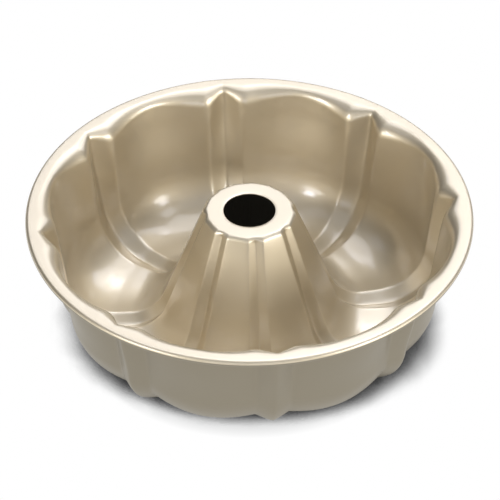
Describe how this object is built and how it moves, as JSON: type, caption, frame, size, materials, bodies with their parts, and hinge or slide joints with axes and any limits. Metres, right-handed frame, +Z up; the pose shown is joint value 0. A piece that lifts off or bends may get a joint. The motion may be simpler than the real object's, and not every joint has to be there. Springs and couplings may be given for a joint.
{
  "type": "pumpkin cake pan",
  "caption": "Fluted ring cake pan shaped like a pumpkin: lobed wall and floor with sharp creases, a tapered chimney with a hole, and a flat flange with a rolled rim.",
  "frame": {"origin": "on the surface that the pan stands on, under the middle of the chimney", "axes": "+Z up along the chimney's axis, +X through the middle of a crease"},
  "size_m": [0.24, 0.24, 0.0753],
  "materials": {
    "nonstick_coating": "satin champagne-gold non-stick coating on pressed carbon steel",
    "bare_steel": "plain drawn steel wire"
  },
  "bodies": {
    "root": {"pan_shell": "nonstick_coating", "rim_wire": "bare_steel"}
  },
  "joints": []
}
